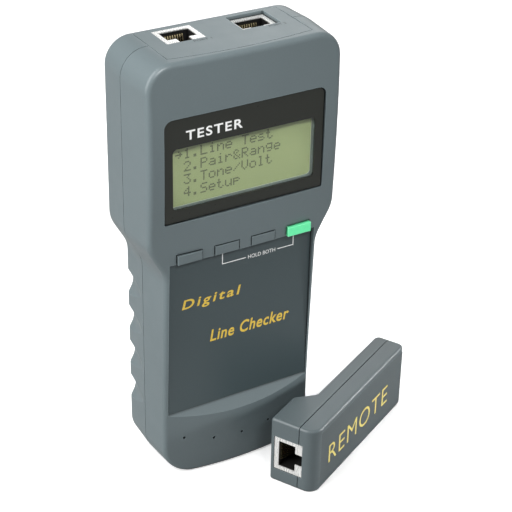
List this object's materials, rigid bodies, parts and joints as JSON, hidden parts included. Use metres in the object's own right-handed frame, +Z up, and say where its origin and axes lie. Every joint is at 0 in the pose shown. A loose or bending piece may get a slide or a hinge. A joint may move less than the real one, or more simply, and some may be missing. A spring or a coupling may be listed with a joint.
{
  "type": "network cable tester",
  "caption": "Handheld network cable tester with a display, push buttons, shielded sockets in its top and a loose remote end piece standing beside it.",
  "frame": {"origin": "centre of the tester's bottom end, where it stands", "axes": "+Z up along the case, -Y is the front with the display, +X is to the right seen from the front"},
  "size_m": [0.1233, 0.0705, 0.185],
  "materials": {
    "case_grey": "fine moulded texture, satin",
    "remote_grey": "fine moulded texture, satin",
    "remote_label": "printed label sheet, satin",
    "panel_print": "printed sheet, satin, dark blue-green grey",
    "border_print": "printed film, satin",
    "clear_window": "clear polished acrylic",
    "adhesive": "black foam tape",
    "lcd_metal": "pressed and brushed",
    "lcd_face": "yellow-green liquid crystal under a satin polariser",
    "light_guide": "milky clear",
    "board_green": "solder resist over copper",
    "header_black": "moulded",
    "key_grey": "grained",
    "key_green": "smooth moulded",
    "switch_black": "moulded",
    "plunger_white": "moulded",
    "tinned_shield": "bright tin plate",
    "socket_black": "moulded",
    "contact_gold": "gold flash",
    "chip_black": "moulded epoxy",
    "can_steel": "drawn can",
    "capacitor_sleeve": "shrink sleeve",
    "buzzer_black": "moulded",
    "cell_sleeve": "plain printed sleeve",
    "spring_steel": "nickel plate",
    "screw_zinc": "zinc plate",
    "lead_red": "soft insulation",
    "lead_black": "soft insulation"
  },
  "bodies": {
    "case": {"battery_cell_1": "cell_sleeve", "battery_cell_2": "cell_sleeve", "battery_cell_3": "cell_sleeve", "battery_cell_4": "cell_sleeve", "battery_contacts": "spring_steel", "battery_lead_black": "lead_black", "battery_lead_red": "lead_red", "battery_springs": "spring_steel", "board_screws": "screw_zinc", "buzzer": "buzzer_black", "buzzer_leads": "lead_black", "capacitor": "capacitor_sleeve", "case_screws": "screw_zinc", "crystal": "can_steel", "display_window": "clear_window", "front_panel": "panel_print", "front_shell": "case_grey", "lcd_backlight": "light_guide", "lcd_board": "board_green", "lcd_frame": "lcd_metal", "lcd_glass": "lcd_face", "lcd_header": "header_black", "lcd_screws": "screw_zinc", "left_jack_contacts": "contact_gold", "left_jack_insert": "socket_black", "left_jack_shield": "tinned_shield", "line_driver": "chip_black", "main_board": "board_green", "processor": "chip_black", "rear_shell": "case_grey", "right_jack_contacts": "contact_gold", "right_jack_insert": "socket_black", "right_jack_shield": "tinned_shield", "switch_body_1": "switch_black", "switch_body_2": "switch_black", "switch_body_3": "switch_black", "switch_body_4": "switch_black", "top_plate": "case_grey", "window_adhesive": "adhesive", "window_border": "border_print"},
    "battery_cover": {"battery_cover": "case_grey"},
    "remote_unit": {"remote_board": "board_green", "remote_chip": "chip_black", "remote_front_shell": "remote_grey", "remote_jack_contacts": "contact_gold", "remote_jack_insert": "socket_black", "remote_jack_shield": "tinned_shield", "remote_label": "remote_label", "remote_rear_shell": "remote_grey", "remote_screws": "screw_zinc"},
    "grey_button_1": {"grey_button_1": "key_grey", "switch_plunger_1": "plunger_white"},
    "grey_button_2": {"grey_button_2": "key_grey", "switch_plunger_2": "plunger_white"},
    "grey_button_3": {"grey_button_3": "key_grey", "switch_plunger_3": "plunger_white"},
    "green_button": {"green_button": "key_green", "switch_plunger_4": "plunger_white"}
  },
  "joints": [
    {"name": "grey_button_1_press", "type": "slide", "parent": "case", "child": "grey_button_1", "axis": [0, 1, 0], "range_m": [0, 0.0006], "stiffness_N_per_m": 800},
    {"name": "grey_button_2_press", "type": "slide", "parent": "case", "child": "grey_button_2", "axis": [0, 1, 0], "range_m": [0, 0.0006], "stiffness_N_per_m": 800},
    {"name": "grey_button_3_press", "type": "slide", "parent": "case", "child": "grey_button_3", "axis": [0, 1, 0], "range_m": [0, 0.0006], "stiffness_N_per_m": 800},
    {"name": "green_button_press", "type": "slide", "parent": "case", "child": "green_button", "axis": [0, 1, 0], "range_m": [0, 0.0006], "stiffness_N_per_m": 800},
    {"name": "battery_cover_lift", "type": "slide", "parent": "case", "child": "battery_cover", "axis": [0, 1, 0], "range_m": [0, 0.03]},
    {"name": "remote_carry", "type": "slide", "parent": "case", "child": "remote_unit", "axis": [0.4695, -0.8829, 0], "range_m": [0, 0.08]}
  ]
}
